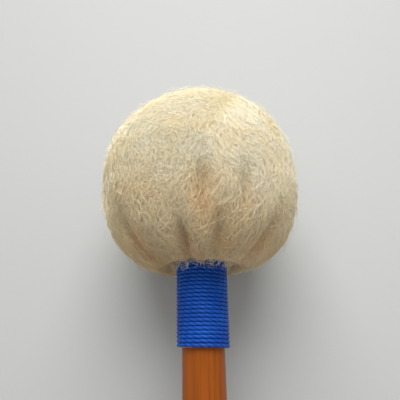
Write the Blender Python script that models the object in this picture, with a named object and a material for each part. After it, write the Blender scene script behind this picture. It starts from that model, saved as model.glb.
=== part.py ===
"""Timpani mallet: a fleece-covered ball head, bound to a cane shaft with thread.

Every piece is modelled upright about its own Z axis, with the middle of the head at zero and the
crown upwards. The empty mallet_axis then lays them all down together: the head ends up towards +Y
and the butt towards -Y, the head's small flat and the end cap's edge touch the ground at Z = 0,
and the world origin is under the middle of the whole mallet.
"""

import math

import bmesh
import bpy
import numpy as np

MM = 0.001

# Overall size and the room left between pieces that touch
OVERALL_LENGTH = 372 * MM
CLEARANCE = 0.3 * MM
SNUG = 0.15 * MM

# Head: outer shape of the fleece cover
HEAD_RADIUS = 25.5 * MM
CROWN_HEIGHT = 24.5 * MM
UNDERSIDE_DEPTH = 24.6 * MM
CROWN_SQUARENESS = 2.05
UNDERSIDE_SQUARENESS = 2.7
NECK_DIMPLE = 3.2 * MM
DIMPLE_RADIUS = 12.5 * MM
COVER_THICKNESS = 5 * MM
TAIL_THICKNESS = 0.5 * MM
FLAT_DEPTH = 0.5 * MM

# Gathers that draw the cover in to the neck
GATHER_COUNT = 12
GATHER_DEPTH = 1.7 * MM
GATHER_START = math.radians(78)
GATHER_FULL = math.radians(128)

# Felt and wooden core under the cover
FELT_AT_SIDE = 6.9 * MM
FELT_AT_CROWN = 7.9 * MM
FELT_AT_BASE = 8 * MM
BAND_SEAM = 0.6 * MM
CORE_EDGE_RADIUS = 2 * MM

# Cane shaft
TIP_RADIUS = 4.95 * MM
BUTT_RADIUS = 6.5 * MM
SHAFT_SEAT_DEPTH = 9 * MM
BORE_RADIUS = 2.2 * MM
TIP_BORE_DEPTH = 22 * MM
BUTT_BORE_DEPTH = 26 * MM
FIRST_NODE = 64 * MM
FIRST_INTERNODE = 88 * MM
INTERNODE_GROWTH = 1.07
NODE_FREE_OF_BINDING = 30 * MM
NODE_SWELL = 0.55 * MM
NODE_SPREAD = 2.4 * MM
SHEATH_GROOVE = 0.5 * MM
SHEATH_GROOVE_WIDTH = 0.55 * MM

# Dowel that joins the cane to the core
WOOD_OVER_DOWEL = 4 * MM
DOWEL_IN_CANE = 20 * MM
DOWEL_CHAMFER = 0.5 * MM

# Thread binding of the neck
THREAD_DIAMETER = 0.5 * MM
THREAD_PITCH = 0.94 * MM
THREAD_TURNS = 23

# End cap on the butt
CAP_LENGTH = 19 * MM
CAP_WALL = 1.5 * MM
CAP_FLOOR = 3 * MM
CAP_EDGE_RADIUS = 1.6 * MM

# How finely round pieces are divided
COVER_SEGMENTS = 5 * GATHER_COUNT
CAVITY_SEGMENTS = COVER_SEGMENTS // 2
CANE_SEGMENTS = 36
LOOP_POINTS = 24
CROWN_RINGS = 6
UNDERSIDE_RINGS = 7
CAVITY_RINGS = 12
FELT_RINGS = 5
NODE_RINGS = 13
EDGE_STEPS = 4

# Sizes that follow from the ones above
CORE_RADIUS = HEAD_RADIUS - COVER_THICKNESS - FELT_AT_SIDE - 2 * CLEARANCE
CORE_TOP_Z = CROWN_HEIGHT - COVER_THICKNESS - FELT_AT_CROWN - 2 * CLEARANCE
CORE_BASE_Z = COVER_THICKNESS + FELT_AT_BASE + 2 * CLEARANCE - UNDERSIDE_DEPTH
BUTT_Z = CROWN_HEIGHT - OVERALL_LENGTH
TIP_Z = CORE_BASE_Z + SHAFT_SEAT_DEPTH
DOWEL_TOP_Z = CORE_TOP_Z - WOOD_OVER_DOWEL
CAP_SHOULDER_Z = BUTT_Z + CAP_LENGTH
BINDING_LENGTH = (THREAD_TURNS - 1) * THREAD_PITCH + THREAD_DIAMETER
DOWEL_RADIUS = BORE_RADIUS - SNUG


def clear_scene():
    for thing in list(bpy.data.objects):
        bpy.data.objects.remove(thing, do_unlink=True)


def linear(red, green, blue):
    """A colour read as 0 to 255 on screen, as the linear values that a shader takes."""

    def channel(value):
        part = value / 255
        return part / 12.92 if part <= 0.04045 else ((part + 0.055) / 1.055) ** 2.4

    return channel(red), channel(green), channel(blue), 1.0


def make_material(name, screen_colour, roughness, metallic=0.0):
    material = bpy.data.materials.new(name)
    material.use_nodes = True
    shader = material.node_tree.nodes["Principled BSDF"]
    shader.inputs["Base Color"].default_value = linear(*screen_colour)
    shader.inputs["Roughness"].default_value = roughness
    shader.inputs["Metallic"].default_value = metallic
    material.diffuse_color = linear(*screen_colour)
    return material


def add_piece(name, data, material, axis):
    data.materials.append(material)
    piece = bpy.data.objects.new(name, data)
    bpy.context.collection.objects.link(piece)
    piece.parent = axis
    return piece


def turned_mesh(name, profile, segments):
    """A closed mesh from spinning the (radius, height) points of a profile about Z."""
    form = bmesh.new()
    points = [form.verts.new((radius, 0, height)) for radius, height in profile]
    lines = [form.edges.new(ends) for ends in zip(points, points[1:])]
    bmesh.ops.spin(
        form, geom=points + lines, axis=(0, 0, 1), angle=math.tau, steps=segments
    )
    bmesh.ops.remove_doubles(form, verts=form.verts, dist=0.001 * MM)
    bmesh.ops.recalc_face_normals(form, faces=form.faces)
    mesh = bpy.data.meshes.new(name)
    form.to_mesh(mesh)
    form.free()
    return mesh


def turned_piece(name, profile, segments, material, axis):
    mesh = turned_mesh(name, profile, segments)
    mesh.shade_smooth()
    mesh.set_sharp_from_angle(angle=math.radians(40))
    return add_piece(name, mesh, material, axis)


def cut(piece, cutter, name):
    """Takes the cutter's shape out of the piece and leaves the cutter as a wire guide."""
    cutter.hide_render = True
    cutter.display_type = "WIRE"
    boolean = piece.modifiers.new(name, "BOOLEAN")
    boolean.operation = "DIFFERENCE"
    boolean.solver = "EXACT"
    boolean.object = cutter


def box_cutter(name, size, centre, axis=None):
    mesh = bpy.data.meshes.new(name)
    form = bmesh.new()
    bmesh.ops.create_cube(form, size=1)
    bmesh.ops.scale(form, verts=form.verts, vec=size)
    form.to_mesh(mesh)
    form.free()
    cutter = bpy.data.objects.new(name, mesh)
    bpy.context.collection.objects.link(cutter)
    cutter.parent = axis
    cutter.location = centre
    return cutter


# Shape of the head


def head_sizes(inset, below):
    """Radius, height and squareness of one half of the head, shrunk by the inset."""
    if below:
        return HEAD_RADIUS - inset, UNDERSIDE_DEPTH - inset, UNDERSIDE_SQUARENESS
    return HEAD_RADIUS - inset, CROWN_HEIGHT - inset, CROWN_SQUARENESS


def head_point(angle, inset=0.0):
    """The (radius, height) of the head's rounded outline, at an angle down from the crown."""
    radius, height, power = head_sizes(inset, angle > math.pi / 2)
    across = abs(math.sin(angle) / radius) ** power
    up = abs(math.cos(angle) / height) ** power
    reach = (across + up) ** (-1 / power)
    return reach * math.sin(angle), reach * math.cos(angle)


def head_radius_at(height, inset):
    """The outline's radius at one height."""
    radius, tall, power = head_sizes(inset, height < 0)
    return radius * (1 - abs(height / tall) ** power) ** (1 / power)


def outline(start, end, rings, inset=0.0):
    return [head_point(angle, inset) for angle in np.linspace(start, end, rings + 1)]


def dimple(radius):
    """How far the underside is drawn up towards the neck, fading out at the dimple's rim."""
    share = (radius - tail_radius()) / (DIMPLE_RADIUS - tail_radius())
    return NECK_DIMPLE * (0.5 + 0.5 * math.cos(math.pi * min(max(share, 0), 1)))


def gather_depth(angle_down, angle_round):
    """Depth of the gathers: sharp valleys between round folds, with a fold at the bottom."""
    fade = (angle_down - GATHER_START) / (GATHER_FULL - GATHER_START)
    fade = min(max(fade, 0), 1)
    fold = abs(math.cos(GATHER_COUNT * (angle_round - math.pi / 2) / 2))
    return GATHER_DEPTH * fade * fade * (3 - 2 * fade) * (1 - fold)


# Shape of the shaft


def taper_radius(height):
    share = (TIP_Z - height) / (TIP_Z - BUTT_Z)
    return TIP_RADIUS + (BUTT_RADIUS - TIP_RADIUS) * share


def node_profile(height, node_height):
    """What one joint of the cane adds: a swelling with the groove of the leaf sheath in it."""
    away = height - node_height
    swell = NODE_SWELL * math.exp(-((away / NODE_SPREAD) ** 2))
    groove = SHEATH_GROOVE * math.exp(-((away / SHEATH_GROOVE_WIDTH) ** 2))
    return swell - groove


def node_heights():
    """The cane's joints, further apart towards the head, as many as fit below the binding."""
    heights = []
    height = BUTT_Z + FIRST_NODE
    internode = FIRST_INTERNODE
    while height < bottom_turn_height() - NODE_FREE_OF_BINDING:
        heights.append(height)
        height += internode
        internode *= INTERNODE_GROWTH
    return heights


def cane_radius(height):
    return taper_radius(height) + sum(node_profile(height, node) for node in node_heights())


def cane_side():
    """Points down the cane's side, close together at each node."""
    spacing = np.linspace(-1, 1, NODE_RINGS)
    offsets = 3 * NODE_SPREAD * np.sign(spacing) * np.abs(spacing) ** 1.8
    heights = [TIP_Z - CLEARANCE, CAP_SHOULDER_Z]
    for node in node_heights():
        heights.extend(node + offsets)
    return [(cane_radius(height), height) for height in sorted(heights, reverse=True)]


# Where the thread binding lies


def tail_bore():
    """Inner radius of the cover's tail, which clears the cane at the binding's lower end."""
    return taper_radius(-UNDERSIDE_DEPTH - BINDING_LENGTH) + SNUG


def tail_radius():
    return tail_bore() + TAIL_THICKNESS


def crease_height():
    """Height at which the cover's underside meets its tail."""
    down = math.pi - math.atan2(tail_radius(), UNDERSIDE_DEPTH)
    return head_point(down)[1] + NECK_DIMPLE


def top_turn_height():
    return crease_height() - CLEARANCE - THREAD_DIAMETER / 2


def bottom_turn_height():
    return top_turn_height() - (THREAD_TURNS - 1) * THREAD_PITCH


# Outlines of the pieces that the mallet rests on


def cover_profile():
    """Outside of the fleece cover, from the crown down to the end of its bound tail."""
    last = math.pi - math.atan2(tail_radius(), UNDERSIDE_DEPTH)
    upper = outline(0, math.pi / 2, CROWN_RINGS)
    lower = outline(math.pi / 2, last, UNDERSIDE_RINGS)[1:-1]
    lower = [(radius, height + dimple(radius)) for radius, height in lower]
    tail_end = bottom_turn_height() + THREAD_PITCH / 2
    neck = [(tail_radius(), crease_height()), (tail_radius(), tail_end), (0, tail_end)]
    return upper + lower + neck


def cap_profile():
    """The end cap: a flat end with a rounded edge, straight sides and a socket for the cane."""
    outer = taper_radius(CAP_SHOULDER_Z)
    flat = outer - CAP_EDGE_RADIUS
    edge = []
    for step in range(EDGE_STEPS + 1):
        turn = math.pi / 2 * step / EDGE_STEPS
        edge.append(
            (
                flat + CAP_EDGE_RADIUS * math.sin(turn),
                BUTT_Z + CAP_EDGE_RADIUS * (1 - math.cos(turn)),
            )
        )
    rim = CAP_SHOULDER_Z - CLEARANCE
    socket = [(outer, rim), (outer - CAP_WALL, rim), (outer - CAP_WALL, BUTT_Z + CAP_FLOOR)]
    return [(0, BUTT_Z)] + edge + socket + [(0, BUTT_Z + CAP_FLOOR)]


def support(profile, along, across):
    """How far the turned profile reaches in a direction given by its parts along and across Z."""
    return max(height * along + radius * across for radius, height in profile)


def resting_tilt():
    """Angle by which the head end is raised when the head's flat and the cap touch the ground."""
    low, high = 0.0, 0.5
    for _ in range(50):
        tilt = (low + high) / 2
        down = (-math.sin(tilt), math.cos(tilt))
        head = support(cover_profile(), *down) - FLAT_DEPTH
        if head > support(cap_profile(), *down):
            low = tilt
        else:
            high = tilt
    return tilt


def add_mallet_axis():
    """The empty that lays the upright mallet down, with the origin under its middle."""
    tilt = resting_tilt()
    front = support(cover_profile(), math.cos(tilt), math.sin(tilt))
    back = support(cap_profile(), -math.cos(tilt), math.sin(tilt))
    height = support(cover_profile(), -math.sin(tilt), math.cos(tilt)) - FLAT_DEPTH
    axis = bpy.data.objects.new("mallet_axis", None)
    bpy.context.collection.objects.link(axis)
    axis.location = (0, (back - front) / 2, height)
    axis.rotation_euler = (tilt - math.pi / 2, 0, 0)
    return axis


# The pieces


def add_shaft(axis, material):
    """The cane, with a blind bore in each end and a turned-down seat for the end cap."""
    spigot = taper_radius(CAP_SHOULDER_Z) - CAP_WALL - SNUG
    spigot_end = BUTT_Z + CAP_FLOOR + CLEARANCE
    profile = [(0, TIP_Z - TIP_BORE_DEPTH), (BORE_RADIUS, TIP_Z - TIP_BORE_DEPTH)]
    profile += [(BORE_RADIUS, TIP_Z), (TIP_RADIUS - CLEARANCE, TIP_Z)]
    profile += cane_side()
    profile += [(spigot, CAP_SHOULDER_Z), (spigot, spigot_end), (BORE_RADIUS, spigot_end)]
    bore_end = spigot_end + BUTT_BORE_DEPTH
    profile += [(BORE_RADIUS, bore_end), (0, bore_end)]
    return turned_piece("bamboo_shaft", profile, CANE_SEGMENTS, material, axis)


def add_end_cap(axis, material):
    return turned_piece("end_cap", cap_profile(), CANE_SEGMENTS, material, axis)


def add_dowel(axis, material):
    """The hardwood dowel glued half in the cane and half in the core."""
    bottom = TIP_Z - DOWEL_IN_CANE
    slim = DOWEL_RADIUS - DOWEL_CHAMFER
    profile = [(0, DOWEL_TOP_Z), (slim, DOWEL_TOP_Z), (DOWEL_RADIUS, DOWEL_TOP_Z - DOWEL_CHAMFER)]
    profile += [(DOWEL_RADIUS, bottom + DOWEL_CHAMFER), (slim, bottom), (0, bottom)]
    return turned_piece("core_dowel", profile, CANE_SEGMENTS, material, axis)


def add_core(axis, material):
    """The turned wooden core, with a stepped hole for the cane and its dowel."""
    flat = CORE_RADIUS - CORE_EDGE_RADIUS
    upper = []
    lower = []
    for step in range(EDGE_STEPS + 1):
        turn = math.pi / 2 * step / EDGE_STEPS
        radius = flat + CORE_EDGE_RADIUS * math.sin(turn)
        drop = CORE_EDGE_RADIUS * (1 - math.cos(turn))
        upper.append((radius, CORE_TOP_Z - drop))
        lower.insert(0, (radius, CORE_BASE_Z + drop))
    seat = TIP_RADIUS + CLEARANCE
    seat_top = TIP_Z + CLEARANCE
    hole = DOWEL_RADIUS + SNUG
    hole_top = DOWEL_TOP_Z + CLEARANCE
    profile = [(0, CORE_TOP_Z)] + upper + lower + [(seat, CORE_BASE_Z)]
    profile += [(seat, seat_top), (hole, seat_top), (hole, hole_top), (0, hole_top)]
    return turned_piece("head_core", profile, CAVITY_SEGMENTS, material, axis)


def add_felt_crown(axis, material):
    """The felt pad moulded over the top of the core."""
    inset = COVER_THICKNESS + CLEARANCE
    base = CORE_TOP_Z + CLEARANCE
    rim = math.atan2(head_radius_at(base, inset), base)
    profile = outline(0, rim, FELT_RINGS, inset) + [(0, base)]
    return turned_piece("inner_felt_crown", profile, CAVITY_SEGMENTS, material, axis)


def add_felt_base(axis, material):
    """The felt washer under the core, round the cane."""
    inset = COVER_THICKNESS + CLEARANCE
    top = CORE_BASE_Z - CLEARANCE
    hole = taper_radius(-UNDERSIDE_DEPTH) + CLEARANCE
    start = math.pi - math.atan2(head_radius_at(top, inset), -top)
    end = math.pi - math.atan2(hole, UNDERSIDE_DEPTH - inset)
    side = outline(start, end, FELT_RINGS, inset)[:-1]
    bottom = side[-1][1]
    profile = [(hole, top)] + side + [(hole, bottom), (hole, top)]
    return turned_piece("inner_felt_base", profile, CAVITY_SEGMENTS, material, axis)


def add_felt_band(axis, material):
    """The felt strip wrapped once round the core, with the seam where its ends meet."""
    inset = COVER_THICKNESS + CLEARANCE
    inner = CORE_RADIUS + CLEARANCE
    heights = np.linspace(CORE_TOP_Z, CORE_BASE_Z, FELT_RINGS + 1)
    side = [(head_radius_at(height, inset), height) for height in heights]
    profile = [(inner, CORE_TOP_Z)] + side + [(inner, CORE_BASE_Z), (inner, CORE_TOP_Z)]
    band = turned_piece("inner_felt_band", profile, CAVITY_SEGMENTS, material, axis)
    size = (HEAD_RADIUS, BAND_SEAM, 2 * (CORE_TOP_Z - CORE_BASE_Z))
    seam = box_cutter("band_seam_cutter", size, (HEAD_RADIUS / 2, 0, 0), axis)
    cut(band, seam, "Seam")
    return band


def draw_in_gathers(mesh):
    """Moves the skin of the cover inwards along the gathers, but not its bound tail."""
    for vertex in mesh.vertices:
        x, y, z = vertex.co
        radius = math.hypot(x, y)
        if radius < tail_radius() + CLEARANCE:
            continue
        depth = gather_depth(math.atan2(radius, z), math.atan2(y, x))
        depth *= min(1, (radius - tail_radius()) / (DIMPLE_RADIUS - tail_radius()))
        length = math.hypot(radius, z)
        vertex.co *= (length - depth) / length


def add_cover(axis, material):
    """The fleece cover, drawn over the felt and the core and gathered in to the cane."""
    mesh = turned_mesh("fleece_cover", cover_profile(), COVER_SEGMENTS)
    draw_in_gathers(mesh)
    mesh.shade_smooth()
    mesh.set_sharp_from_angle(angle=math.radians(60))
    cover = add_piece("fleece_cover", mesh, material, axis)
    last = math.pi - math.atan2(tail_bore(), UNDERSIDE_DEPTH - COVER_THICKNESS)
    inside = outline(0, last, CAVITY_RINGS, COVER_THICKNESS)[:-1]
    mouth = -(UNDERSIDE_DEPTH - COVER_THICKNESS)
    below = bottom_turn_height() - THREAD_PITCH
    profile = inside + [(tail_bore(), mouth), (tail_bore(), below), (0, below)]
    cavity = bpy.data.objects.new(
        "cover_cavity_cutter", turned_mesh("cover_cavity_cutter", profile, CAVITY_SEGMENTS)
    )
    bpy.context.collection.objects.link(cavity)
    cavity.parent = axis
    cut(cover, cavity, "Cavity")
    size = (4 * HEAD_RADIUS, 4 * HEAD_RADIUS, 2 * HEAD_RADIUS)
    ground = box_cutter("ground_cutter", size, (0, axis.location.y, -HEAD_RADIUS))
    cut(cover, ground, "Flat")
    return cover


def thread_path():
    """Points of the binding's thread: one helix, with a short straight run at each end."""
    radius = tail_radius() + SNUG + THREAD_DIAMETER / 2
    points = []
    for step in range((THREAD_TURNS - 1) * LOOP_POINTS + 1):
        turn = math.tau * step / LOOP_POINTS
        height = bottom_turn_height() + THREAD_PITCH * step / LOOP_POINTS
        points.append((radius * math.cos(turn), radius * math.sin(turn), height))
    points = np.array(points)
    run = THREAD_DIAMETER
    start_way = (points[0] - points[1]) / np.linalg.norm(points[0] - points[1])
    end_way = (points[-1] - points[-2]) / np.linalg.norm(points[-1] - points[-2])
    return np.vstack([points[0] + run * start_way, points, points[-1] + run * end_way])


def print_least_gap(points):
    """Prints how near the thread comes to itself, leaving out each point's own half turn."""
    apart = np.linalg.norm(points[:, None, :] - points[None, :, :], axis=2)
    places = np.arange(len(points))
    near_along = np.abs(places[:, None] - places[None, :]) < LOOP_POINTS // 2
    gap = apart[~near_along].min() - THREAD_DIAMETER
    print(f"Thread binding: least gap to itself {gap / MM:.3f} mm")


def add_binding(axis, material):
    """The binding: one unbroken thread wound round the tail of the cover."""
    points = thread_path()
    print_least_gap(points)
    curve = bpy.data.curves.new("neck_binding", "CURVE")
    curve.dimensions = "3D"
    curve.bevel_depth = THREAD_DIAMETER / 2
    curve.bevel_resolution = 1
    curve.use_fill_caps = True
    spline = curve.splines.new("POLY")
    spline.points.add(len(points) - 1)
    for point, place in zip(spline.points, points):
        point.co = (*place, 1)
    return add_piece("neck_binding", curve, material, axis)


def main():
    clear_scene()
    cane = make_material("lacquered_cane", (150, 82, 28), 0.3)
    hardwood = make_material("hardwood", (196, 160, 112), 0.6)
    inner_felt = make_material("inner_felt", (214, 208, 190), 0.95)
    fleece = make_material("cream_fleece", (214, 196, 160), 1.0)
    thread = make_material("blue_thread", (26, 72, 158), 0.45)
    rubber = make_material("dark_rubber", (34, 32, 32), 0.7)
    axis = add_mallet_axis()
    add_shaft(axis, cane)
    add_end_cap(axis, rubber)
    add_dowel(axis, hardwood)
    add_core(axis, hardwood)
    add_felt_crown(axis, inner_felt)
    add_felt_base(axis, inner_felt)
    add_felt_band(axis, inner_felt)
    add_cover(axis, fleece)
    add_binding(axis, thread)


main()
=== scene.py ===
import math

import bpy
import numpy as np
from mathutils import Matrix, Vector


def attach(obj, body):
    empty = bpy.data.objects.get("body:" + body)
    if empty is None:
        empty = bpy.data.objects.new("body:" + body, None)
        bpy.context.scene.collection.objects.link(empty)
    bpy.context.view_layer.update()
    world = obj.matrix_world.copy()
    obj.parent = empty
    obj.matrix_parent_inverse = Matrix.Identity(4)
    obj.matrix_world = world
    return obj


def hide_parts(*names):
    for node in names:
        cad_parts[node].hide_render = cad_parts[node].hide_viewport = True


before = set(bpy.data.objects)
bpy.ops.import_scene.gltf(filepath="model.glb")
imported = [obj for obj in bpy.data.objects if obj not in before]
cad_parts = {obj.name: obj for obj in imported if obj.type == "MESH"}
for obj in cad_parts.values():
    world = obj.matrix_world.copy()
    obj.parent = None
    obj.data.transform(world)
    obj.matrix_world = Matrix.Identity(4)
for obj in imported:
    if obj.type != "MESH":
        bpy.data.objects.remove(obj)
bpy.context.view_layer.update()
bpy.ops.object.select_all(action="DESELECT")

# Lengths below are in millimetres where the name or heading says nothing else
MM = 0.001
QUARTER_TURN = math.pi / 2
WHOLE_TURN = 2 * math.pi

# The mallet's axis, in metres: its own Z runs from the butt to the crown, its own Y points down
TILT = math.radians(3.0991)
HEAD_CENTRE = Vector((0.0, 0.1614, 0.0251))
AXIS_TURN = Matrix(((1, 0, 0), (0, math.sin(TILT), math.cos(TILT)), (0, -math.cos(TILT), math.sin(TILT))))

# Head
HEAD_RADIUS = 25.5
CROWN_HEIGHT = 24.5
UNDERSIDE_DEPTH = 24.6
CROWN_SQUARENESS = 2.05
UNDERSIDE_SQUARENESS = 2.7
NECK_DIMPLE = 3.2
DIMPLE_RADIUS = 12.5
TAIL_RADIUS = 5.45
TAIL_END = -42.4
TAIL_BORE = 5.3
CREASE_STEP = 0.6
COVER_THICKNESS = 5.6
LINING_EDGE = 1
SKIN_INSET = 0.75
LUMP_HEIGHT = 0.22
LUMP_WAVES = 4.0
LUMP_SEED = 3
TABLE_CLEARANCE = 0.04
HEAD_SEGMENTS = 256
SKIN_RINGS = 130
TAIL_RINGS = 12
BORE_RINGS = 6
LINING_RINGS = 24
SMOOTH_UNDER = math.radians(40)

# Tone of the wool with painted shade: 0 is palest and 1 is tan; the painted shade towards the neck starts at
# an angle from the crown, and more is painted in the pleats
NECK_SHADE_FROM = 78
NECK_SHADE_REACH = 80
PALEST_TONE = 0.06
NECK_SHADE_SHARE = 0.6
PLEAT_SHADE_SHARE = 0.3
PATCH_SHARE = 0.07
PATCH_WAVES = 5.0
PATCH_SEED = 9
CROWN_TONE = 0.1
TAIL_TONE = 0.9
LINING_TONE = 0.5
STRAY_TONE = 0.35
STRAY_TONE_SPREAD = 0.1
FIBRE_TONE_SPREAD = 0.07

# Pleats that show in the photograph: degrees round from the upper side, the angles from the
# crown where each starts and ends, its depth and its half width in degrees
PLEATS = [
    (2, 100, 124, 1.9, 5.0),
    (24, 102, 122, 1.6, 4.0),
    (-54, 116, 144, 2.0, 5.5),
    (-12, 126, 152, 2.0, 5.0),
    (12, 122, 150, 1.5, 5.0),
    (50, 122, 148, 1.6, 6.0),
]

# Pleats on the rest of the head, in degrees apart from the depth
HIDDEN_PLEATS_FROM = 78
HIDDEN_PLEAT_STEP = 31
HIDDEN_PLEAT_SHIFT = 6
HIDDEN_PLEAT_TOP = 108
HIDDEN_PLEAT_TOP_SHIFT = 8
HIDDEN_PLEAT_LENGTH = 30
HIDDEN_PLEAT_DEPTH = (0.9, 1.5)
HIDDEN_PLEAT_HALF_WIDTH = 5.5
PLEAT_SEED = 5

# Wool fibres
FIBRE_PIECES = 9
FIBRES_PER_PIECE = 6200
FIBRE_STEPS = 7
FIBRE_SIDES = 3
FIBRE_LENGTH = (5.0, 8.5)
FIBRE_WIDTH = (0.055, 0.095)
FIBRE_TAPER = ((0, 0.5), (0.2, 1), (0.7, 0.9), (1, 0.35))
WOOL_SEED = 17
CLUMP_SIZE = 6
CLUMP_SPREAD = 0.045
SWIRL = 0.9
SWIRL_WAVES = 3.5
SWIRL_SEED = 21
CLUMP_SWAY = 0.55
FIBRE_SWAY = 0.3
CROWN_SWAY = 0.8
CURL = (0.3, 1.0)
CURL_WAVES = (0.8, 1.5)
CURL_SHIFT = 0.4
REST_HEIGHT = (0.0, 0.8)
TIP_RISE = (0.0, 0.45)
FLYAWAY_SHARE = 0.05
FLYAWAY_RISE = (0.6, 1.9)
ROOT_DEPTH = 0.25
NECK_LIMIT = -0.955
NECK_FIBRES = 260
NECK_FIBRE_LENGTH = (0.8, 3.0)
NECK_FIBRE_WIDTH = (0.06, 0.09)
NECK_FIBRE_ROOT = (7.4, 9.5)
NECK_FIBRE_GAP = (0.12, 0.7)
NECK_FIBRE_DROP = 0.2
NECK_FIBRE_BEND = 0.25
NECK_FIBRE_SHAKE = 0.03
NECK_FIBRE_LEVEL = 0.3
NECK_FIBRE_RISE = -0.954
CHART_CELL = 0.004

# Binding
THREAD_TURNS = 22
THREAD_PITCH = 0.94
THREAD_RADIUS = 0.468
THREAD_CENTRELINE = 5.98
THREAD_TOP = -21.785
THREAD_STEPS = 56
THREAD_SIDES = 10
THREAD_LAY = 1.7
THREAD_PLIES = 2
TUCK_DEPTH = 0.5
TUCK_TURNS = 0.06

# Cane
CANE_TIP_RADIUS = 4.95
CANE_TIP_Z = -2.0
CANE_BUTT_RADIUS = 6.5
CANE_BUTT_Z = -347.5
CANE_JOINTS = (-283.5, -195.5, -101.3)
JOINT_SWELL = 0.55
JOINT_SPREAD = 2.4
JOINT_REACH = 6
JOINT_STEP = 0.3
JOINT_GROOVE = 0.5
GROOVE_WIDTH = 0.55
CANE_SIDES = 96
CANE_STATIONS = 24
SPIGOT_CHAMFER = 0.3
SPIGOT_PROBE = 4
SHOULDER_LENGTH = 0.1
DOWEL_CLEARANCE = 1
FIT_GAP = 0.15
STEP_RISE = 0.01

# End cap
CAP_EDGE = 1.6
CAP_EDGE_STEPS = 9
CAP_LIP = 0.5
CAP_LIP_STEPS = 5

# Joint rings in the cane's colour, in metres
RING_OUTER = 0.0022
RING_INNER = 0.0003

# Light, in metres and watts
LAMP_AIM = Vector((0, 0.15, 0.02))
LAMP_HEIGHT = math.radians(43)
LAMP_DISTANCE = 0.6
LAMP_SIZE = 0.55
LAMP_POWER = 5.9
EVEN_LIGHT = 0.56
SEEN_WORLD = (0.72, 0.725, 0.715)

# Floor and its painted pool of light, in metres
FLOOR_SIZE = 8
LIGHT_POOL_X = 0.02
LIGHT_POOL_EDGE = (0.03, 0.14)

# Camera: places in metres, lens and sensor in millimetres
CAMERA_PLACE = Vector((0, 0.11297, 0.12963))
CAMERA_AHEAD = Vector((0, 0.384, -0.923))
CAMERA_ROLL = math.radians(1.3)
CAMERA_LENS = 37.8
CAMERA_SENSOR = 36
CAMERA_NEAR = 0.005


def to_world(points):
    """Points in millimetres along the mallet's own axes, as places in metres."""
    return points * MM @ np.array(AXIS_TURN).T + np.array(HEAD_CENTRE)


def to_axis(places):
    """Places in metres, as points in millimetres along the mallet's own axes."""
    return (places - np.array(HEAD_CENTRE)) @ np.array(AXIS_TURN) / MM


def node_points(node):
    """A node's corners, in millimetres along the mallet's own axes."""
    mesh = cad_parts[node].data
    places = np.empty(len(mesh.vertices) * 3)
    mesh.vertices.foreach_get("co", places)
    return to_axis(places.reshape(-1, 3))


def out_from_axis(points):
    return np.hypot(points[:, 0], points[:, 1])


def unit(vectors):
    return vectors / np.maximum(np.linalg.norm(vectors, axis=-1, keepdims=True), 1e-9)


# Materials


class Wire:
    """A node's output, on which sums are written as sums."""

    def __init__(self, nodes, socket):
        self.nodes = nodes
        self.socket = socket

    def math(self, operation, other=0.0, swapped=False):
        first, second = (other, self) if swapped else (self, other)
        return self.nodes.add("ShaderNodeMath", {"operation": operation}, {0: first, 1: second})

    def __add__(self, other):
        return self.math("ADD", other)

    __radd__ = __add__

    def __sub__(self, other):
        return self.math("SUBTRACT", other)

    def __rsub__(self, other):
        return self.math("SUBTRACT", other, swapped=True)

    def __mul__(self, other):
        return self.math("MULTIPLY", other)

    __rmul__ = __mul__


class Nodes:
    """A tree of nodes, each added in the same way."""

    def __init__(self, tree):
        self.tree = tree

    def add(self, kind, settings=None, sockets=None, output=0):
        node = self.tree.nodes.new(kind)
        for key, value in (settings or {}).items():
            setattr(node, key, value)
        for key, value in (sockets or {}).items():
            self.join(node.inputs[key], value)
        return Wire(self, node.outputs[output])

    def join(self, socket, value):
        if isinstance(value, Wire):
            self.tree.links.new(value.socket, socket)
        else:
            socket.default_value = value


class Finish(Nodes):
    """One material: its shader, its constants and the nodes that feed it."""

    def __init__(self, name, constants):
        self.material = bpy.data.materials.new(name)
        self.material.use_nodes = True
        super().__init__(self.material.node_tree)
        self.shader = self.tree.nodes["Principled BSDF"]
        for socket, value in constants.items():
            self.shader.inputs[socket].default_value = value

    def place(self):
        return self.add("ShaderNodeTexCoord", output=3)

    def along_axis(self, scale=(1, 1, 1)):
        """Places turned so that Z runs along the mallet, then stretched."""
        turned_place = self.add("ShaderNodeMapping", None, {0: self.place(), 2: (QUARTER_TURN - TILT, 0, 0)})
        return self.add("ShaderNodeMapping", None, {0: turned_place, 3: scale})

    def noise(self, vector, scale, detail=3.0):
        return self.add("ShaderNodeTexNoise", None, {"Vector": vector, "Scale": scale, "Detail": detail})

    def spread(self, value, low, high):
        """A value from low to high, as a value from 0 to 1."""
        return self.add("ShaderNodeMapRange", None, {0: value, 1: low, 2: high, 3: 0.0, 4: 1.0})

    def tone(self):
        """The wool's tone with its painted shade, stored at each corner of its mesh."""
        return self.add("ShaderNodeAttribute", {"attribute_name": "wool_tone_and_shade"}, output=2)

    def mix(self, factor, first, second):
        colours = {0: factor, 6: self.colour(first), 7: self.colour(second)}
        return self.add("ShaderNodeMix", {"data_type": "RGBA"}, colours, output=2)

    def colour(self, value):
        return value if isinstance(value, Wire) else (*value, 1.0)

    def paint(self, colour):
        self.join(self.shader.inputs["Base Color"], colour)

    def bump(self, height, strength, distance):
        sockets = {"Strength": strength, "Distance": distance, "Height": height}
        self.join(self.shader.inputs["Normal"], self.add("ShaderNodeBump", None, sockets))


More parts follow.
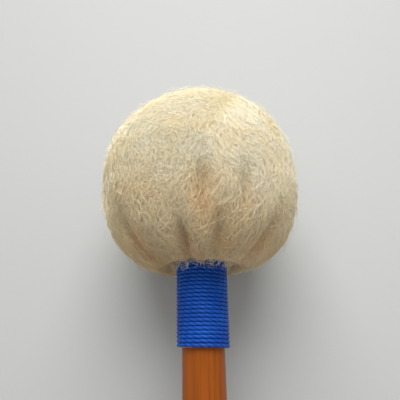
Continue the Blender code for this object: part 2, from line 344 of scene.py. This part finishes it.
def wool_finish():
    """Wool fibres: cream at the crown, tan where painted shade falls towards the neck and in the pleats."""
    finish = Finish("wool_fibre", {"Roughness": 0.6, "Specular IOR Level": 0.15})
    tone = finish.tone()
    patches = finish.spread(finish.noise(finish.place(), 130.0), 0.45, 0.7)
    cream = finish.mix(patches, (0.98, 0.93, 0.75), (0.98, 0.88, 0.62))
    # Honey and tan follow the tone: painted shade towards the neck and in the pleats, with the wool's own
    # patches
    honey = finish.mix(finish.spread(tone, 0.0, 0.5), cream, (0.97, 0.82, 0.54))
    finish.paint(finish.mix(finish.spread(tone, 0.5, 1.0), honey, (0.84, 0.55, 0.27)))
    return finish.material


def skin_finish():
    """The matted wool under the loose fibres, tan where painted shade falls towards the neck and in the
    pleats.
    """
    finish = Finish("wool_skin", {"Roughness": 0.9, "Specular IOR Level": 0.1})
    matted = finish.noise(finish.place(), 1800.0, 5.0)
    # The tone carries painted shade towards the neck and in the pleats, mottled by the matted noise
    mottled = finish.spread(finish.tone() + (matted - 0.5) * 0.5, 0.0, 1.0)
    finish.paint(finish.mix(mottled, (0.95, 0.86, 0.62), (0.72, 0.48, 0.26)))
    finish.bump(matted, 0.8, 0.0006)
    return finish.material


def thread_finish():
    """Blue thread of two twisted plies, with painted shade in the grooves between them and a soft gloss."""
    finish = Finish("blue_thread", {"Roughness": 0.5, "Specular IOR Level": 0.2})
    spot = finish.add("ShaderNodeUVMap", {"uv_map": "Thread"})
    along = finish.add("ShaderNodeSeparateXYZ", None, {0: spot}, output=0)
    around = finish.add("ShaderNodeSeparateXYZ", None, {0: spot}, output=1)
    twist = along * (WHOLE_TURN / THREAD_LAY) + around * (WHOLE_TURN * THREAD_PLIES)
    ply = finish.spread(twist.math("SINE"), -1.0, 1.0)
    fuzz = finish.noise(finish.place(), 4200.0)
    worn = finish.spread(finish.noise(finish.place(), 260.0), 0.35, 0.7)
    # The ply factor paints shade in the grooves between the plies: darker where the twist sinks, paler on
    # the plies
    deep = finish.mix(ply, (0.001, 0.03, 0.22), (0.002, 0.075, 0.42))
    pale = finish.mix(ply, (0.002, 0.05, 0.30), (0.006, 0.11, 0.52))
    finish.paint(finish.mix(worn, deep, pale))
    finish.bump(ply * 0.7 + fuzz * 0.3, 0.7, 0.00012)
    return finish.material


def joint_rings(finish):
    """1 in the grooves of the cane's joints, falling to 0 beside them."""
    height = finish.add("ShaderNodeSeparateXYZ", None, {0: finish.along_axis()}, output=2)
    centre_height = HEAD_CENTRE.y * math.cos(TILT) + HEAD_CENTRE.z * math.sin(TILT)
    rings = []
    for joint in CANE_JOINTS:
        away = (height - (centre_height + joint * MM)).math("ABSOLUTE")
        rings.append(finish.spread(away, RING_OUTER, RING_INNER))
    first, *others = rings
    for ring in others:
        first = first.math("MAXIMUM", ring)
    return first


def cane_finish():
    """Orange-brown lacquered cane, with the fine bundles of its fibre and darker joints."""
    constants = {"Specular IOR Level": 0.15, "Coat Weight": 0.08, "Coat Roughness": 0.2}
    finish = Finish("lacquered_cane", constants)
    bundles = finish.spread(finish.noise(finish.along_axis((1, 1, 0.03)), 1500.0, 4.0), 0.35, 0.68)
    shades = finish.spread(finish.noise(finish.along_axis((1, 1, 0.12)), 330.0, 3.0), 0.3, 0.7)
    lacquer = finish.mix(shades, (0.25, 0.054, 0.002), (0.35, 0.084, 0.004))
    streaked = finish.mix(bundles * 0.55, lacquer, (0.15, 0.035, 0.002))
    finish.paint(finish.mix(joint_rings(finish) * 0.75, streaked, (0.085, 0.028, 0.010)))
    finish.join(finish.shader.inputs["Roughness"], bundles * 0.16 + 0.30)
    finish.bump(bundles, 0.25, 0.00008)
    return finish.material


def mottled_finish(name, pale, dark, scale, roughness, bump):
    """A matt material of two close colours, a little rough."""
    finish = Finish(name, {"Roughness": roughness})
    mottle = finish.noise(finish.place(), scale, 5.0)
    finish.paint(finish.mix(finish.spread(mottle, 0.35, 0.65), dark, pale))
    finish.bump(mottle, 0.5, bump)
    return finish.material


def rubber_finish():
    return mottled_finish("black_rubber", (0.035, 0.034, 0.033), (0.018, 0.018, 0.018), 900.0, 0.62, 0.0001)


def felt_finish():
    return mottled_finish("pressed_felt", (0.72, 0.66, 0.52), (0.55, 0.49, 0.37), 1400.0, 0.9, 0.0004)


def wood_finish():
    """Pale hardwood with its grain along the mallet."""
    finish = Finish("turned_hardwood", {"Roughness": 0.5})
    grain = finish.noise(finish.along_axis((1, 1, 0.08)), 600.0, 4.0)
    finish.paint(finish.mix(finish.spread(grain, 0.35, 0.65), (0.42, 0.26, 0.13), (0.62, 0.43, 0.25)))
    finish.bump(grain, 0.3, 0.0001)
    return finish.material


# Making pieces


def show(piece, material, slot, *replaced):
    """Gives a piece its material and fixes it to the mallet."""
    piece.data.materials.append(material)
    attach(piece, "root")
    if replaced:
        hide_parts(*replaced)


def mesh_piece(name, places, faces):
    """A smooth piece from places in metres and triangles of their numbers."""
    mesh = bpy.data.meshes.new(name)
    mesh.vertices.add(len(places))
    mesh.vertices.foreach_set("co", places.astype(np.float32).ravel())
    mesh.loops.add(faces.size)
    mesh.loops.foreach_set("vertex_index", faces.astype(np.int32).ravel())
    mesh.polygons.add(len(faces))
    mesh.polygons.foreach_set("loop_start", np.arange(0, faces.size, faces.shape[1], dtype=np.int32))
    mesh.polygons.foreach_set("use_smooth", np.ones(len(faces), bool))
    mesh.update(calc_edges=True)
    piece = bpy.data.objects.new(name, mesh)
    bpy.context.scene.collection.objects.link(piece)
    return piece


def store_tones(piece, tones):
    """Stores the wool's tone with its painted shade at each corner of a piece's mesh."""
    stored = piece.data.attributes.new("wool_tone_and_shade", "FLOAT", "POINT")
    stored.data.foreach_set("value", tones.astype(np.float32))


def store_chart(piece, name, spots):
    """Stores a flat map with a spot for each corner of each face."""
    chart = piece.data.uv_layers.new(name=name)
    chart.data.foreach_set("uv", spots.astype(np.float32).ravel())


def lift_off_table(places):
    """Presses flat whatever would sink into the table."""
    places[:, 2] = np.maximum(places[:, 2], TABLE_CLEARANCE * MM)
    return places


def outward_faces(piece):
    """Turns every face of a closed piece outwards."""
    bpy.ops.object.select_all(action="DESELECT")
    piece.select_set(True)
    bpy.context.view_layer.objects.active = piece
    bpy.ops.object.mode_set(mode="EDIT")
    bpy.ops.mesh.select_all(action="SELECT")
    bpy.ops.mesh.normals_make_consistent(inside=False)
    bpy.ops.object.mode_set(mode="OBJECT")
    piece.select_set(False)


def turned(name, stations, sides):
    """A turned piece: a disc drawn out along the axis through stations of radius and height."""
    bpy.ops.object.select_all(action="DESELECT")
    radius, height = stations[0]
    bpy.ops.mesh.primitive_circle_add(
        vertices=sides, radius=radius * MM, fill_type="NGON", location=(0, 0, height * MM)
    )
    piece = bpy.context.object
    piece.name = name
    bpy.ops.object.transform_apply(location=True, rotation=True, scale=True)
    bpy.ops.object.mode_set(mode="EDIT")
    bpy.ops.mesh.select_all(action="SELECT")
    for new_radius, new_height in stations[1:]:
        rise = (0, 0, (new_height - height) * MM)
        bpy.ops.mesh.extrude_region_move(TRANSFORM_OT_translate={"value": rise})
        share = new_radius / radius
        centre = (0, 0, new_height * MM)
        bpy.ops.transform.resize(value=(share, share, 1), center_override=centre)
        radius, height = new_radius, new_height
    bpy.ops.mesh.select_all(action="SELECT")
    bpy.ops.mesh.normals_make_consistent(inside=False)
    bpy.ops.object.mode_set(mode="OBJECT")
    piece.matrix_world = Matrix.Translation(HEAD_CENTRE) @ AXIS_TURN.to_4x4()
    bpy.ops.object.transform_apply(location=True, rotation=True, scale=True)
    bpy.ops.object.shade_smooth_by_angle(angle=SMOOTH_UNDER)
    piece.select_set(False)
    return piece


# Shape of the head


def smooth_field(directions, waves, seed, sines=6):
    """A gentle random value, mostly from -1 to 1, that changes with the direction."""
    draw = np.random.default_rng(seed)
    total = np.zeros(len(directions))
    for _ in range(sines):
        total += np.sin(directions @ draw.normal(size=3) * waves + draw.uniform(0, WHOLE_TURN))
    return total / math.sqrt(sines)


def all_pleats():
    """The pleats in the photograph and, on the rest of the head, others like them."""
    draw = np.random.default_rng(PLEAT_SEED)
    pleats = list(PLEATS)
    for turn in range(HIDDEN_PLEATS_FROM, 360 - HIDDEN_PLEATS_FROM, HIDDEN_PLEAT_STEP):
        top = HIDDEN_PLEAT_TOP + draw.uniform(-HIDDEN_PLEAT_TOP_SHIFT, HIDDEN_PLEAT_TOP_SHIFT)
        place = turn + draw.uniform(-HIDDEN_PLEAT_SHIFT, HIDDEN_PLEAT_SHIFT)
        depth = draw.uniform(*HIDDEN_PLEAT_DEPTH)
        pleats.append((place, top, top + HIDDEN_PLEAT_LENGTH, depth, HIDDEN_PLEAT_HALF_WIDTH))
    return pleats


def degrees_down(directions):
    """The angle from the crown of each direction."""
    return np.degrees(np.arccos(np.clip(directions[:, 2], -1, 1)))


def pleat_depth(directions):
    """How deep the pleats draw the wool in."""
    turn = np.degrees(np.arctan2(directions[:, 0], -directions[:, 1]))
    down = degrees_down(directions)
    depth = np.zeros(len(directions))
    for place, top, bottom, deepest, half_width in all_pleats():
        across = (turn - place + 180) % 360 - 180
        along = (down - (top + bottom) / 2) / ((bottom - top) / 2)
        depth += deepest * np.exp(-((across / half_width) ** 2) - along**2)
    return depth


def head_reach(directions):
    """How far the outline lies from the head's centre, before the dimple at the neck."""
    rise = directions[:, 2]
    depth = np.where(rise >= 0, CROWN_HEIGHT, UNDERSIDE_DEPTH)
    power = np.where(rise >= 0, CROWN_SQUARENESS, UNDERSIDE_SQUARENESS)
    level = out_from_axis(directions) / HEAD_RADIUS
    return (level**power + (np.abs(rise) / depth) ** power) ** (-1 / power)


def head_surface(directions, lift):
    """Points of the wool's skin, raised by lift, in the directions given from the head's centre."""
    lumps = LUMP_HEIGHT * smooth_field(directions, LUMP_WAVES, LUMP_SEED)
    reach = head_reach(directions) - SKIN_INSET - pleat_depth(directions) + lumps + lift
    points = directions * reach[:, None]
    blend = np.clip((out_from_axis(points) - TAIL_RADIUS) / (DIMPLE_RADIUS - TAIL_RADIUS), 0, 1)
    dimple = NECK_DIMPLE * (0.5 + 0.5 * np.cos(math.pi * blend))
    points[:, 2] += np.where(directions[:, 2] < 0, dimple, 0)
    return points


def wool_tone_and_shade(directions):
    """0 where the wool is palest, 1 where it is tan: painted shade towards the neck and in the pleats, and
    patches of the wool's own tone.
    """
    # Painted shade towards the neck, the side turned away from the lamp
    neck = np.clip((degrees_down(directions) - NECK_SHADE_FROM) / NECK_SHADE_REACH, 0, 1)
    patches = smooth_field(directions, PATCH_WAVES, PATCH_SEED)
    # Painted shade in the pleats, as deep as they draw the wool in
    pleats = PLEAT_SHADE_SHARE * pleat_depth(directions)
    return np.clip(PALEST_TONE + NECK_SHADE_SHARE * neck + pleats + PATCH_SHARE * patches, 0, 1)


def ring_directions(angle):
    """Directions all round the mallet's axis, at one angle from the crown."""
    turn = np.linspace(0, WHOLE_TURN, HEAD_SEGMENTS, endpoint=False)
    level = np.full(HEAD_SEGMENTS, math.sin(angle))
    rise = np.full(HEAD_SEGMENTS, math.cos(angle))
    return np.stack([level * np.cos(turn), level * np.sin(turn), rise], 1)


def head_rings():
    """The rings of the wool body and their tones, with painted shade on the skin: skin, tail, bore and
    lining, from crown to crown.
    """
    rings = []
    tones = []
    tail_angle = math.pi - math.atan2(TAIL_RADIUS, UNDERSIDE_DEPTH)
    for angle in np.linspace(0, tail_angle, SKIN_RINGS)[1:]:
        directions = ring_directions(angle)
        rings.append(head_surface(directions, 0))
        tones.append(wool_tone_and_shade(directions))

    crease = rings[-1][:, 2].mean()
    bore_top = LINING_EDGE + COVER_THICKNESS - UNDERSIDE_DEPTH
    stem = [(TAIL_RADIUS, z) for z in np.linspace(crease - CREASE_STEP, TAIL_END, TAIL_RINGS)]
    stem += [(TAIL_BORE, z) for z in np.linspace(TAIL_END, bore_top, BORE_RINGS)]
    circle = ring_directions(QUARTER_TURN)
    for radius, z in stem:
        rings.append(circle * radius + np.array((0, 0, z)))
        tones.append(np.full(HEAD_SEGMENTS, TAIL_TONE))

    lining_angle = math.pi - math.atan2(TAIL_BORE + LINING_EDGE, UNDERSIDE_DEPTH - COVER_THICKNESS)
    for angle in np.linspace(lining_angle, 0, LINING_RINGS)[:-1]:
        directions = ring_directions(angle)
        rings.append(directions * (head_reach(directions) - COVER_THICKNESS)[:, None])
        tones.append(np.full(HEAD_SEGMENTS, LINING_TONE))
    return rings, tones


def ring_faces(ring_count):
    """The triangles between rings of corners, closed by one corner at each end."""
    step = np.arange(HEAD_SEGMENTS)
    following = (step + 1) % HEAD_SEGMENTS
    faces = []
    for ring in range(ring_count - 1):
        near = 1 + ring * HEAD_SEGMENTS
        far = near + HEAD_SEGMENTS
        faces.append(np.stack([near + step, far + step, far + following], 1))
        faces.append(np.stack([near + step, far + following, near + following], 1))
    last = 1 + (ring_count - 1) * HEAD_SEGMENTS
    end = 1 + ring_count * HEAD_SEGMENTS
    faces.append(np.stack([np.zeros(HEAD_SEGMENTS, int), 1 + step, 1 + following], 1))
    faces.append(np.stack([np.full(HEAD_SEGMENTS, end), last + following, last + step], 1))
    return np.concatenate(faces)


def make_head():
    """The padded wool body: crown, pleated sides, dimpled underside and tail, with its hollow."""
    rings, tones = head_rings()
    crown = np.array([[0, 0, CROWN_HEIGHT - SKIN_INSET]])
    ceiling = np.array([[0, 0, CROWN_HEIGHT - COVER_THICKNESS]])
    places = lift_off_table(to_world(np.concatenate([crown, *rings, ceiling])))
    head = mesh_piece("wool_head", places, ring_faces(len(rings)))
    store_tones(head, np.concatenate([[CROWN_TONE], *tones, [LINING_TONE]]))
    show(head, skin_finish(), "fleece", "fleece_cover")


# Loose wool


def wool_roots(draw, count):
    """Where the fibres start: in clumps all over the head, but not on the neck."""
    guides = unit(draw.normal(size=(count, 3)))
    guides = guides[guides[:, 2] > NECK_LIMIT][: count // CLUMP_SIZE + 1]
    clump = np.arange(count) % len(guides)
    roots = unit(guides[clump] + draw.normal(size=(count, 3)) * CLUMP_SPREAD)
    return roots, clump, len(guides)


def keep_off_neck(directions):
    """Holds directions that would cross the binding at the edge of the neck."""
    level = unit(directions[:, :2]) * math.sqrt(1 - NECK_LIMIT**2)
    edge = np.concatenate([level, np.full((len(directions), 1), NECK_LIMIT)], 1)
    return np.where(directions[:, 2:3] < NECK_LIMIT, edge, directions)


def wool_paths(draw, count):
    """Curly paths over the head's skin, mostly from the crown towards the neck."""
    roots, clump, clumps = wool_roots(draw, count)
    sway = draw.normal(size=clumps)[clump] * CLUMP_SWAY + draw.normal(size=count) * FIBRE_SWAY
    swirl = SWIRL * smooth_field(roots, SWIRL_WAVES, SWIRL_SEED)
    heading = swirl + sway + np.clip(roots[:, 2], 0, 1) * CROWN_SWAY * sway
    curl = draw.uniform(*CURL, clumps)[clump]
    phase = draw.uniform(0, WHOLE_TURN, clumps)[clump] + draw.normal(size=count) * CURL_SHIFT
    waves = draw.uniform(*CURL_WAVES, clumps)[clump]
    length = draw.uniform(*FIBRE_LENGTH, count)
    rest = draw.uniform(*REST_HEIGHT, count)
    rise = draw.uniform(*TIP_RISE, count)
    loose = draw.random(count) < FLYAWAY_SHARE
    rise = np.where(loose, draw.uniform(*FLYAWAY_RISE, count), rise)
    stride = (length / (FIBRE_STEPS - 1) / HEAD_RADIUS)[:, None]
    here = roots
    paths = np.empty((count, FIBRE_STEPS, 3))
    for step in range(FIBRE_STEPS):
        share = step / (FIBRE_STEPS - 1)
        sunk = ROOT_DEPTH if step == 0 else 0
        paths[:, step] = head_surface(here, rest + rise * share**1.5 - sunk)
        angle = heading + curl * np.sin(WHOLE_TURN * waves * share + phase)
        down = unit(here * here[:, 2:3] - np.array((0, 0, 1)))
        side = np.cross(here, down)
        ahead = np.cos(angle)[:, None] * down + np.sin(angle)[:, None] * side
        here = keep_off_neck(unit(here + ahead * stride))
    return paths, roots


def neck_paths(draw, count):
    """Pale stray fibres that hang from the head over the first turns of the binding."""
    turn = draw.uniform(0, WHOLE_TURN, count)
    length = draw.uniform(*NECK_FIBRE_LENGTH, count)
    bend = draw.normal(size=count) * NECK_FIBRE_BEND
    over = THREAD_CENTRELINE + THREAD_RADIUS + draw.uniform(*NECK_FIBRE_GAP, count)
    start = draw.uniform(*NECK_FIBRE_ROOT, count)
    paths = np.empty((count, FIBRE_STEPS, 3))
    for step in range(FIBRE_STEPS):
        share = step / (FIBRE_STEPS - 1)
        out = over + (start - over) * (1 - share) ** 3
        shake = draw.normal(size=count) * NECK_FIBRE_SHAKE
        angle = turn + bend * math.sin(math.pi * share) + shake
        z = THREAD_TOP - NECK_FIBRE_DROP - length * share
        paths[:, step] = np.stack([out * np.cos(angle), out * np.sin(angle), z], 1)
    level = NECK_FIBRE_LEVEL * np.stack([np.cos(turn), np.sin(turn)], 1)
    roots = np.concatenate([level, np.full((count, 1), NECK_FIBRE_RISE)], 1)
    return paths, unit(roots)


def fibre_faces():
    """The triangles of one fibre: a point, rings of three corners, and a point."""
    rings = FIBRE_STEPS - 2
    tip = 1 + rings * FIBRE_SIDES
    last = tip - FIBRE_SIDES
    faces = []
    for side in range(FIBRE_SIDES):
        following = (side + 1) % FIBRE_SIDES
        faces.append((0, 1 + following, 1 + side))
        for near in range(1, last, FIBRE_SIDES):
            far = near + FIBRE_SIDES
            faces.append((near + side, near + following, far + following))
            faces.append((near + side, far + following, far + side))
        faces.append((last + side, last + following, tip))
    return np.array(faces)


def fibre_corners(paths, widths):
    """The corners of thin closed tubes along the paths, tapered to a point at both ends."""
    ahead = unit(np.gradient(paths, axis=1))
    side = unit(np.cross(ahead, unit(paths)))
    other = np.cross(ahead, side)
    taper = np.interp(np.linspace(0, 1, FIBRE_STEPS), *np.transpose(FIBRE_TAPER))
    radius = widths[:, None] / 2 * taper[None, :]
    corners = [paths[:, :1]]
    for step in range(1, FIBRE_STEPS - 1):
        for corner in range(FIBRE_SIDES):
            turn = WHOLE_TURN * corner / FIBRE_SIDES
            away = math.cos(turn) * side[:, step] + math.sin(turn) * other[:, step]
            corners.append((paths[:, step] + away * radius[:, step, None])[:, None])
    corners.append(paths[:, -1:])
    return np.concatenate(corners, 1)


def fibre_spots(roots, per_fibre):
    """Where each corner of each fibre lies on the colour map: in a small cell at its root's place."""
    cell = np.zeros((per_fibre, 2))
    cell[1:, 0] = (np.arange(per_fibre - 1) % FIBRE_SIDES) / FIBRE_SIDES
    cell[:, 1] = np.linspace(0, 1, per_fibre)
    turn = np.arctan2(roots[:, 1], roots[:, 0]) / WHOLE_TURN + 0.5
    down = np.radians(degrees_down(roots)) / math.pi
    start = np.stack([turn, down], 1) * (1 - 2 * CHART_CELL) + CHART_CELL / 2
    return (start[:, None] + cell[None] * CHART_CELL).reshape(-1, 2)


def make_fibres(name, paths, roots, widths, tones, material):
    """One piece that holds many fibres."""
    corners = fibre_corners(paths, widths)
    count, per_fibre, _ = corners.shape
    faces = (fibre_faces()[None] + np.arange(count)[:, None, None] * per_fibre).reshape(-1, 3)
    piece = mesh_piece(name, lift_off_table(to_world(corners.reshape(-1, 3))), faces)
    store_tones(piece, np.repeat(tones, per_fibre))
    store_chart(piece, "OFBake", fibre_spots(roots, per_fibre)[faces.ravel()])
    show(piece, material, "fleece")


def make_wool():
    """All the loose wool, in a few pieces of equal size, and the strays at the neck."""
    draw = np.random.default_rng(WOOL_SEED)
    material = wool_finish()
    for number in range(FIBRE_PIECES):
        paths, roots = wool_paths(draw, FIBRES_PER_PIECE)
        widths = draw.uniform(*FIBRE_WIDTH, len(paths))
        shift = draw.normal(size=len(paths)) * FIBRE_TONE_SPREAD
        tones = np.clip(wool_tone_and_shade(roots) + shift, 0, 1)
        make_fibres(f"wool_fibres_{number + 1}", paths, roots, widths, tones, material)
    paths, roots = neck_paths(draw, NECK_FIBRES)
    widths = draw.uniform(*NECK_FIBRE_WIDTH, len(paths))
    shift = draw.normal(size=len(paths)) * STRAY_TONE_SPREAD
    tones = np.clip(STRAY_TONE + shift, 0, 1)
    make_fibres("wool_neck_fibres", paths, roots, widths, tones, material)


# Binding


def thread_path():
    """Points down the middle of the thread, the turns they stand for, and the way outwards at each."""
    turns = np.linspace(0, THREAD_TURNS, THREAD_TURNS * THREAD_STEPS + 1)
    from_end = np.minimum(turns, THREAD_TURNS - turns)
    out = THREAD_CENTRELINE - TUCK_DEPTH * np.clip(1 - from_end / TUCK_TURNS, 0, 1)
    angle = WHOLE_TURN * turns + QUARTER_TURN
    outward = np.stack([np.cos(angle), np.sin(angle), np.zeros(len(turns))], 1)
    drop = np.stack([0 * turns, 0 * turns, THREAD_TOP - THREAD_PITCH * turns], 1)
    return turns, out[:, None] * outward + drop, outward


def thread_faces(count):
    """The triangles of a tube of count rings, closed by one corner at each end."""
    step = np.arange(count - 1)[:, None] * THREAD_SIDES
    side = np.arange(THREAD_SIDES)[None]
    following = (side + 1) % THREAD_SIDES
    near, near_next = step + side, step + following
    far, far_next = near + THREAD_SIDES, near_next + THREAD_SIDES
    faces = [np.stack([near, far, far_next], 2).reshape(-1, 3)]
    faces.append(np.stack([near, far_next, near_next], 2).reshape(-1, 3))
    first = count * THREAD_SIDES
    end = first - THREAD_SIDES
    around, around_next = side[0], following[0]
    faces.append(np.stack([np.full(THREAD_SIDES, first), around, around_next], 1))
    faces.append(np.stack([np.full(THREAD_SIDES, first + 1), end + around_next, end + around], 1))
    return np.concatenate(faces)


def thread_spots(turns, faces):
    """How far along the thread, in millimetres, and how far round it each corner of each face lies."""
    length = WHOLE_TURN * THREAD_CENTRELINE * turns
    along = np.concatenate([np.repeat(length, THREAD_SIDES), length[:1], length[-1:]])
    around = np.concatenate([np.tile(np.arange(THREAD_SIDES) / THREAD_SIDES, len(turns)), [0, 0]])[faces]
    wrapped = (around.max(1) - around.min(1) > 0.5)[:, None] & (around < 0.5)
    return np.stack([along[faces], around + wrapped], 2)


def make_binding():
    """One thread wound down the neck, turn against turn, with both ends tucked in."""
    turns, path, outward = thread_path()
    upward = np.cross(outward, unit(np.gradient(path, axis=0)))
    rings = []
    for side in range(THREAD_SIDES):
        turn = WHOLE_TURN * side / THREAD_SIDES
        rings.append(path + THREAD_RADIUS * (math.cos(turn) * outward + math.sin(turn) * upward))
    corners = np.concatenate([np.stack(rings, 1).reshape(-1, 3), path[:1], path[-1:]])
    faces = thread_faces(len(turns))
    binding = mesh_piece("thread_binding", to_world(corners), faces)
    store_chart(binding, "Thread", thread_spots(turns, faces))
    outward_faces(binding)
    show(binding, thread_finish(), "thread", "neck_binding")


# Cane and cap


def cane_radius(height):
    """The cane's radius at a height: its taper, and a swelling with a groove at each joint."""
    share = (height - CANE_TIP_Z) / (CANE_BUTT_Z - CANE_TIP_Z)
    radius = CANE_TIP_RADIUS + share * (CANE_BUTT_RADIUS - CANE_TIP_RADIUS)
    for joint in CANE_JOINTS:
        away = height - joint
        radius += JOINT_SWELL * math.exp(-((away / JOINT_SPREAD) ** 2))
        radius -= JOINT_GROOVE * math.exp(-((away / GROOVE_WIDTH) ** 2))
    return radius


def cane_heights():
    """Heights up the cane, close together round each joint."""
    heights = set(np.linspace(CANE_BUTT_Z, CANE_TIP_Z, CANE_STATIONS).round(3))
    near_joint = np.arange(-JOINT_REACH, JOINT_REACH + STEP_RISE, JOINT_STEP)
    for joint in CANE_JOINTS:
        heights |= set((joint + near_joint).round(3))
    return sorted(heights)


def cane_end():
    """The radius and the height of the cane's stepped end, over which the cap is pushed."""
    shaft = node_points("bamboo_shaft")
    end = shaft[shaft[:, 2] < shaft[:, 2].min() + SPIGOT_PROBE]
    return out_from_axis(end).max(), end[:, 2].min()


def make_cane():
    """The tapered cane, stepped for its cap and bored at its tip for the dowel that holds the core."""
    dowel = node_points("core_dowel")
    bore = out_from_axis(dowel).max() + FIT_GAP
    bore_floor = dowel[:, 2].min() - DOWEL_CLEARANCE
    spigot, end = cane_end()
    shoulder = node_points("end_cap")[:, 2].max() + FIT_GAP
    stations = [(spigot - SPIGOT_CHAMFER, end), (spigot, end + SPIGOT_CHAMFER)]
    stations += [(spigot, shoulder - STEP_RISE), (cane_radius(shoulder), shoulder)]
    heights = [height for height in cane_heights() if height > shoulder + SHOULDER_LENGTH]
    stations += [(cane_radius(height), height) for height in heights]
    stations += [(bore, CANE_TIP_Z + STEP_RISE), (bore, bore_floor)]
    cane = turned("cane_shaft", stations, CANE_SIDES)
    show(cane, cane_finish(), "cane", "bamboo_shaft")


def make_cap():
    """The rubber cap on the butt, with a rounded end and a soft lip."""
    cap = node_points("end_cap")
    radius = out_from_axis(cap).max()
    bottom = cap[:, 2].min()
    top = cap[:, 2].max()
    spigot, end = cane_end()
    bore = spigot + FIT_GAP
    stations = []
    for turn in np.linspace(0, QUARTER_TURN, CAP_EDGE_STEPS):
        edge = CAP_EDGE * (1 - math.cos(turn))
        stations.append((radius - CAP_EDGE + CAP_EDGE * math.sin(turn), bottom + edge))
    for turn in np.linspace(0, QUARTER_TURN, CAP_LIP_STEPS):
        lip = CAP_LIP * (1 - math.cos(turn))
        stations.append((radius - lip, top - CAP_LIP + CAP_LIP * math.sin(turn)))
    stations += [(bore, top - STEP_RISE), (bore, end - FIT_GAP)]
    piece = turned("rubber_cap", stations, CANE_SIDES)
    show(piece, rubber_finish(), "rubber", "end_cap")


def finish_inside():
    """The pieces that stay hidden in the head keep their solids and get their own materials."""
    wood = wood_finish()
    felt = felt_finish()
    materials = {"core_dowel": wood, "head_core": wood}
    for node in ("inner_felt_crown", "inner_felt_base", "inner_felt_band"):
        materials[node] = felt
    for node, material in materials.items():
        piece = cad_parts[node]
        if not piece.material_slots:
            piece.data.materials.append(material)
        for slot in piece.material_slots:
            slot.material = material


# Surroundings


def make_floor():
    """A pale floor with a painted pool of light round the head, a little darker away from the head."""
    bpy.ops.mesh.primitive_plane_add(size=FLOOR_SIZE, location=(0, 0, 0))
    floor = bpy.context.object
    floor.name = "floor"
    finish = Finish("pale_floor", {"Roughness": 0.85, "Specular IOR Level": 0.2})
    centre = (-LIGHT_POOL_X, -HEAD_CENTRE.y, 0)
    moved = finish.add("ShaderNodeMapping", None, {0: finish.place(), 1: centre})
    away = finish.add("ShaderNodeVectorMath", {"operation": "LENGTH"}, {0: moved}, output=1)
    # Painted pool of light: paler near the head, darker away from it
    far = finish.spread(away, *LIGHT_POOL_EDGE)
    finish.paint(finish.mix(far, (0.455, 0.46, 0.45), (0.40, 0.405, 0.395)))
    floor.data.materials.append(finish.material)


def make_lamp():
    """A broad soft lamp beyond the crown."""
    toward = Vector((0, math.cos(LAMP_HEIGHT), math.sin(LAMP_HEIGHT)))
    lamp = bpy.data.lights.new("window", "AREA")
    lamp.size = LAMP_SIZE
    lamp.energy = LAMP_POWER
    light = bpy.data.objects.new("window", lamp)
    light.location = LAMP_AIM + toward * LAMP_DISTANCE
    light.rotation_euler = toward.to_track_quat("Z", "Y").to_euler()
    bpy.context.scene.collection.objects.link(light)


def make_world():
    """Even light from all round, and the pale wall that the camera and gloss see."""
    world = bpy.data.worlds.new("studio")
    world.use_nodes = True
    bpy.context.scene.world = world
    nodes = Nodes(world.node_tree)
    nodes.tree.nodes.remove(nodes.tree.nodes["Background"])
    even = nodes.add("ShaderNodeBackground", None, {0: (1.0, 1.0, 1.0, 1.0), 1: EVEN_LIGHT})
    seen = nodes.add("ShaderNodeBackground", None, {0: (*SEEN_WORLD, 1.0), 1: 1.0})
    camera_ray = nodes.add("ShaderNodeLightPath", output="Is Camera Ray")
    glossy_ray = nodes.add("ShaderNodeLightPath", output="Is Glossy Ray")
    seen_by = camera_ray.math("MAXIMUM", glossy_ray)
    mixed = nodes.add("ShaderNodeMixShader", None, {0: seen_by, 1: even, 2: seen})
    nodes.join(nodes.tree.nodes["World Output"].inputs["Surface"], mixed)


def make_camera():
    """The photograph's view: steeply down on the neck, with the head beyond it."""
    lens = bpy.data.cameras.new("camera")
    lens.lens = CAMERA_LENS
    lens.sensor_width = CAMERA_SENSOR
    lens.clip_start = CAMERA_NEAR
    camera = bpy.data.objects.new("camera", lens)
    bpy.context.scene.collection.objects.link(camera)
    ahead = CAMERA_AHEAD.normalized()
    right = Vector((1, 0, 0))
    up = right.cross(ahead)
    rolled_right = math.cos(CAMERA_ROLL) * right - math.sin(CAMERA_ROLL) * up
    rolled_up = math.sin(CAMERA_ROLL) * right + math.cos(CAMERA_ROLL) * up
    facing = Matrix((rolled_right, rolled_up, -ahead)).transposed()
    camera.matrix_world = Matrix.Translation(CAMERA_PLACE) @ facing.to_4x4()
    bpy.context.scene.camera = camera


make_camera()
make_lamp()
make_world()
make_floor()
finish_inside()
make_cane()
make_cap()
make_binding()
make_head()
make_wool()

bpy.context.scene.view_settings.view_transform = "Standard"
bpy.context.view_layer.update()
